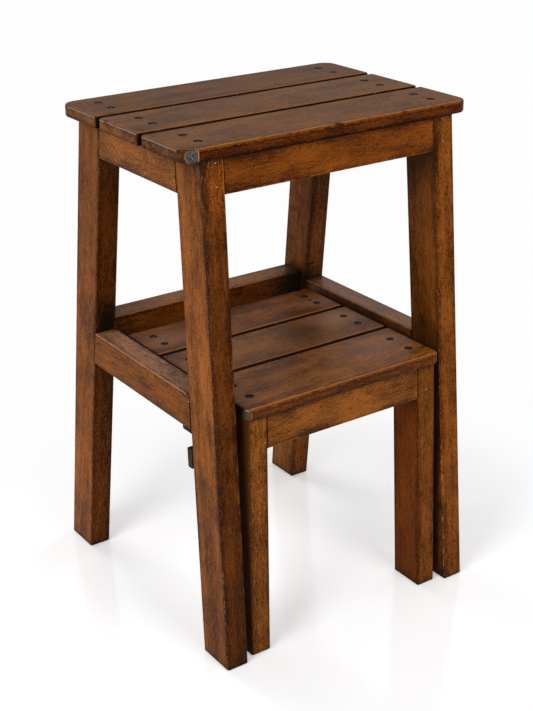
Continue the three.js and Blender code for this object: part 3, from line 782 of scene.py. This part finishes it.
# Small brads filled with putty, each by its place, the way its face looks, and its body
BRADS = {
    "brad_1": ((-0.1601, -0.1573, 0.6207), (0, -1, FRONT_SLOPE), "stool"),
    "brad_2": ((-0.1601, -0.1593, 0.5944), (0, -1, FRONT_SLOPE), "stool"),
    "brad_3": ((0.1621, -0.1572, 0.6217), (0, -1, FRONT_SLOPE), "stool"),
    "brad_4": ((0.1620, -0.1592, 0.5951), (0, -1, FRONT_SLOPE), "stool"),
    "brad_5": ((-0.1194, -0.1861, 0.2848), (0, -1, STEP_SLOPE), "step"),
    "brad_6": ((0.1280, -0.1861, 0.2855), (0, -1, STEP_SLOPE), "step"),
    "brad_7": ((-0.1837, -0.1239, 0.3317), (-1, 0, SIDE_SLOPE), "stool"),
}
BRAD_RADIUS = 0.0009
BRAD_RISE = 0.00025
BRAD_SIDES = 14
# The rings of a brad's dome, as shares of its radius and of its rise
BRAD_RINGS = ((1.0, -0.4), (0.9, 0.6), (0.6, 1.0), (0.3, 0.85))
PUTTY_SCALE = 1900
PUTTY_NOISE = (3.0, 0.6)
PUTTY_RANGE = (0.30, 0.52)
PUTTY_ROUGHNESS = 0.6
PUTTY_GRAIN = 0.2
PUTTY_RELIEF = 0.0002
PUTTY_GLOSS = 0.1


def putty():
    """Pale putty, with the wood's amber showing through."""
    paint = Paint(bpy.data.materials.new("putty"))
    grain = paint.grain(paint.place(), PUTTY_SCALE, *PUTTY_NOISE)
    colour = paint.blend(AMBER, PUTTY, paint.ramp(grain, *PUTTY_RANGE))
    roughness = PUTTY_ROUGHNESS + (grain - 0.5) * PUTTY_GRAIN
    return paint.finish(colour, roughness, paint.bump(grain, PUTTY_RELIEF), PUTTY_GLOSS)


def brad_mesh(name, place, normal):
    """A low dome with a dimple, its rim just under the wood's face."""
    turn = Vector(normal).to_track_quat("Z", "Y").to_matrix()
    points = []
    for share, rise in BRAD_RINGS:
        for step in range(BRAD_SIDES):
            angle = 2 * math.pi * step / BRAD_SIDES
            flat = Vector((math.cos(angle), math.sin(angle), 0)) * share * BRAD_RADIUS
            points.append(Vector(place) + turn @ (flat + Vector((0, 0, rise * BRAD_RISE))))
    faces = []
    for ring in range(len(BRAD_RINGS) - 1):
        low, high = ring * BRAD_SIDES, (ring + 1) * BRAD_SIDES
        for step in range(BRAD_SIDES):
            after = (step + 1) % BRAD_SIDES
            faces.append((low + step, low + after, high + after, high + step))
    last = (len(BRAD_RINGS) - 1) * BRAD_SIDES
    faces.append(tuple(last + step for step in range(BRAD_SIDES)))
    faces.append(tuple(reversed(range(BRAD_SIDES))))
    mesh = bpy.data.meshes.new(name)
    mesh.from_pydata(points, [], faces)
    return mesh


def add_object(name, data):
    thing = bpy.data.objects.new(name, data)
    bpy.context.scene.collection.objects.link(thing)
    return thing


def add_brads():
    material = putty()
    for name, (place, normal, body) in BRADS.items():
        mesh = brad_mesh(name, place, normal)
        mesh.materials.append(material)
        brad = add_object(name, mesh)
        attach(brad, body)


add_brads()

# Studio: a white backdrop, and a white floor that keeps the stool's shadow
FLOOR_SIZE = 40.0
FLOOR_DROP = 0.0002
FLOOR_TONE = 0.86
FLOOR_ROUGHNESS = 0.13
# A glow that brings the floor closer to white
FLOOR_LIFT = 0.32
# Where the floor starts to turn plain white, and where it is all white
SHADOW_REACH = (0.34, 0.56)
WHITE = 0.985
AMBIENT = 0.26


def seen_directly(paint):
    """1 for what the camera sees, also in a reflection or through glass, and 0 for light on the object."""
    path = paint.nodes.new("ShaderNodeLightPath")
    camera, glossy, through = (
        Field(paint, path.outputs[f"Is {kind} Ray"]) for kind in ("Camera", "Glossy", "Transmission"))
    return paint.most(paint.most(camera, glossy), through)


def make_floor():
    """A floor that shows shadows near the stool and turns white farther out."""
    reach = FLOOR_SIZE / 2
    corners = [(x * reach, y * reach, -FLOOR_DROP) for x, y in ((-1, -1), (1, -1), (1, 1), (-1, 1))]
    mesh = bpy.data.meshes.new("floor")
    mesh.from_pydata(corners, [], [(0, 1, 2, 3)])
    floor = add_object("floor", mesh)
    paint = Paint(bpy.data.materials.new("studio_floor"))
    base = paint.node("ShaderNodeBsdfPrincipled", inputs=(
        ("Base Color", (FLOOR_TONE,) * 3), ("Roughness", FLOOR_ROUGHNESS)))
    seen = seen_directly(paint)
    glow = paint.node("ShaderNodeEmission", inputs=(("Strength", seen * FLOOR_LIFT),))
    near = paint.node("ShaderNodeAddShader", inputs=enumerate((base, glow)))
    white = paint.node("ShaderNodeEmission", inputs=(("Color", (WHITE,) * 3),))
    fade = paint.ramp(paint.length(*paint.place()), *SHADOW_REACH)
    shader = paint.node("ShaderNodeMixShader", inputs=enumerate((seen * fade, near, white)))
    mesh.materials.append(paint.end(shader))


def make_world():
    """Dim light from all sides, and a white backdrop for the camera."""
    paint = Paint(bpy.data.worlds.new("studio"))
    ambient = paint.node("ShaderNodeBackground", inputs=(("Strength", AMBIENT),))
    backdrop = paint.node("ShaderNodeBackground", inputs=(("Color", (WHITE,) * 3),))
    shader = paint.node("ShaderNodeMixShader", inputs=enumerate((seen_directly(paint), ambient, backdrop)))
    bpy.context.scene.world = paint.end(shader, "ShaderNodeOutputWorld")


LAMP_DISTANCE = 2.4
LAMP_SIZE = 1.2
LAMP_AIM = (0.0, 0.0, 0.3)
# Each soft lamp's name, compass direction from the stool in degrees from +X, elevation, and level:
# how strong its light is on the stool, at whatever distance the lamps stand
LAMPS = (
    ("lamp_left", 200, 35, 0.54),
    ("lamp_front", 276, 35, 0.33),
    ("lamp_back_left", 101, 33, 0.27),
    ("lamp_back_right", 10, 35, 0.14),
)


def make_lamps():
    for name, compass, elevation, level in LAMPS:
        light = bpy.data.lights.new(name, "AREA")
        light.shape = "DISK"
        light.size = LAMP_SIZE
        light.energy = level * math.pi ** 2 * LAMP_DISTANCE ** 2
        flat, rise = math.radians(compass), math.radians(elevation)
        direction = Vector((
            math.cos(flat) * math.cos(rise), math.sin(flat) * math.cos(rise), math.sin(rise)))
        lamp = add_object(name, light)
        lamp.location = Vector(LAMP_AIM) + direction * LAMP_DISTANCE
        lamp.rotation_euler = (-direction).to_track_quat("-Z", "Y").to_euler()


# The photograph's camera, fitted to the stool's lines
PHOTO_HEIGHT = 711
FOCAL_PIXELS = 1347.253
SENSOR_HEIGHT = 36.0
CAMERA_AZIMUTH = math.radians(-34.542)
CAMERA_ELEVATION = math.radians(23.697)
CAMERA_ROLL = math.radians(-0.5575)
CAMERA_TARGET = (0.00281, -0.01343, 0.30301)
CAMERA_DISTANCE = 1.76019


def make_camera():
    azimuth, elevation, roll = CAMERA_AZIMUTH, CAMERA_ELEVATION, CAMERA_ROLL
    back = Vector((math.sin(azimuth) * math.cos(elevation), -math.cos(azimuth) * math.cos(elevation),
                   math.sin(elevation)))
    level_right = Vector((math.cos(azimuth), math.sin(azimuth), 0))
    level_up = back.cross(level_right)
    right = level_right * math.cos(roll) + level_up * math.sin(roll)
    up = level_up * math.cos(roll) - level_right * math.sin(roll)
    data = bpy.data.cameras.new("camera")
    data.sensor_fit = "VERTICAL"
    data.sensor_height = SENSOR_HEIGHT
    data.lens = FOCAL_PIXELS / PHOTO_HEIGHT * SENSOR_HEIGHT
    camera = add_object("camera", data)
    turn = Matrix((right, up, back)).transposed().to_4x4()
    place = Matrix.Translation(Vector(CAMERA_TARGET) + back * CAMERA_DISTANCE)
    camera.matrix_world = place @ turn
    bpy.context.scene.camera = camera


make_floor()
make_world()
make_lamps()
make_camera()
bpy.context.scene.view_settings.view_transform = "Standard"
